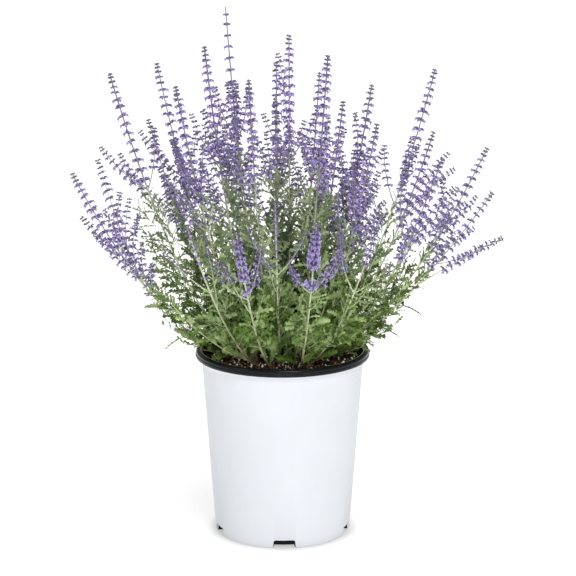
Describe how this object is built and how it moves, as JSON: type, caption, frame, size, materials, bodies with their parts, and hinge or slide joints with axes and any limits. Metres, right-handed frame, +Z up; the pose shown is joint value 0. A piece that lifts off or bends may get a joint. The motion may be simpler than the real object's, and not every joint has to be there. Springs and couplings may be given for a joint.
{
  "type": "potted russian sage",
  "caption": "Flowering russian sage in a round grower's pot: square leafy stems spread from the soil and end in slim violet flower spikes.",
  "frame": {"origin": "centre of the pot's foot, on the surface that it stands on", "axes": "+Z up along the pot's axis, +X to the right and -Y towards the viewer of the picture"},
  "size_m": [0.52, 0.4583, 0.652],
  "materials": {
    "pot": "satin white outside, black rim and inside",
    "soil": "loose bark and peat with cream perlite",
    "leaf": "matt, finely downy",
    "flower": "matt, woolly"
  },
  "bodies": {
    "root": {"pot": "pot", "soil": "soil", "stem_01": "leaf", "spike_01": "flower", "stem_02": "leaf", "spike_02": "flower", "stem_03": "leaf", "spike_03": "flower", "stem_04": "leaf", "spike_04": "flower", "stem_05": "leaf", "spike_05": "flower", "stem_06": "leaf", "spike_06": "flower", "stem_07": "leaf", "spike_07": "flower", "stem_08": "leaf", "spike_08": "flower", "stem_09": "leaf", "spike_09": "flower", "stem_10": "leaf", "spike_10": "flower", "stem_11": "leaf", "spike_11": "flower", "stem_12": "leaf", "spike_12": "flower", "stem_13": "leaf", "spike_13": "flower", "stem_14": "leaf", "spike_14": "flower", "stem_15": "leaf", "spike_15": "flower", "stem_16": "leaf", "spike_16": "flower", "stem_17": "leaf", "spike_17": "flower", "stem_18": "leaf", "spike_18": "flower", "stem_19": "leaf", "spike_19": "flower", "stem_20": "leaf", "spike_20": "flower", "stem_21": "leaf", "spike_21": "flower", "stem_22": "leaf", "spike_22": "flower", "stem_23": "leaf", "spike_23": "flower", "stem_24": "leaf", "spike_24": "flower", "stem_25": "leaf", "spike_25": "flower", "stem_26": "leaf", "spike_26": "flower", "stem_27": "leaf", "spike_27": "flower", "stem_28": "leaf", "spike_28": "flower"}
  },
  "joints": []
}
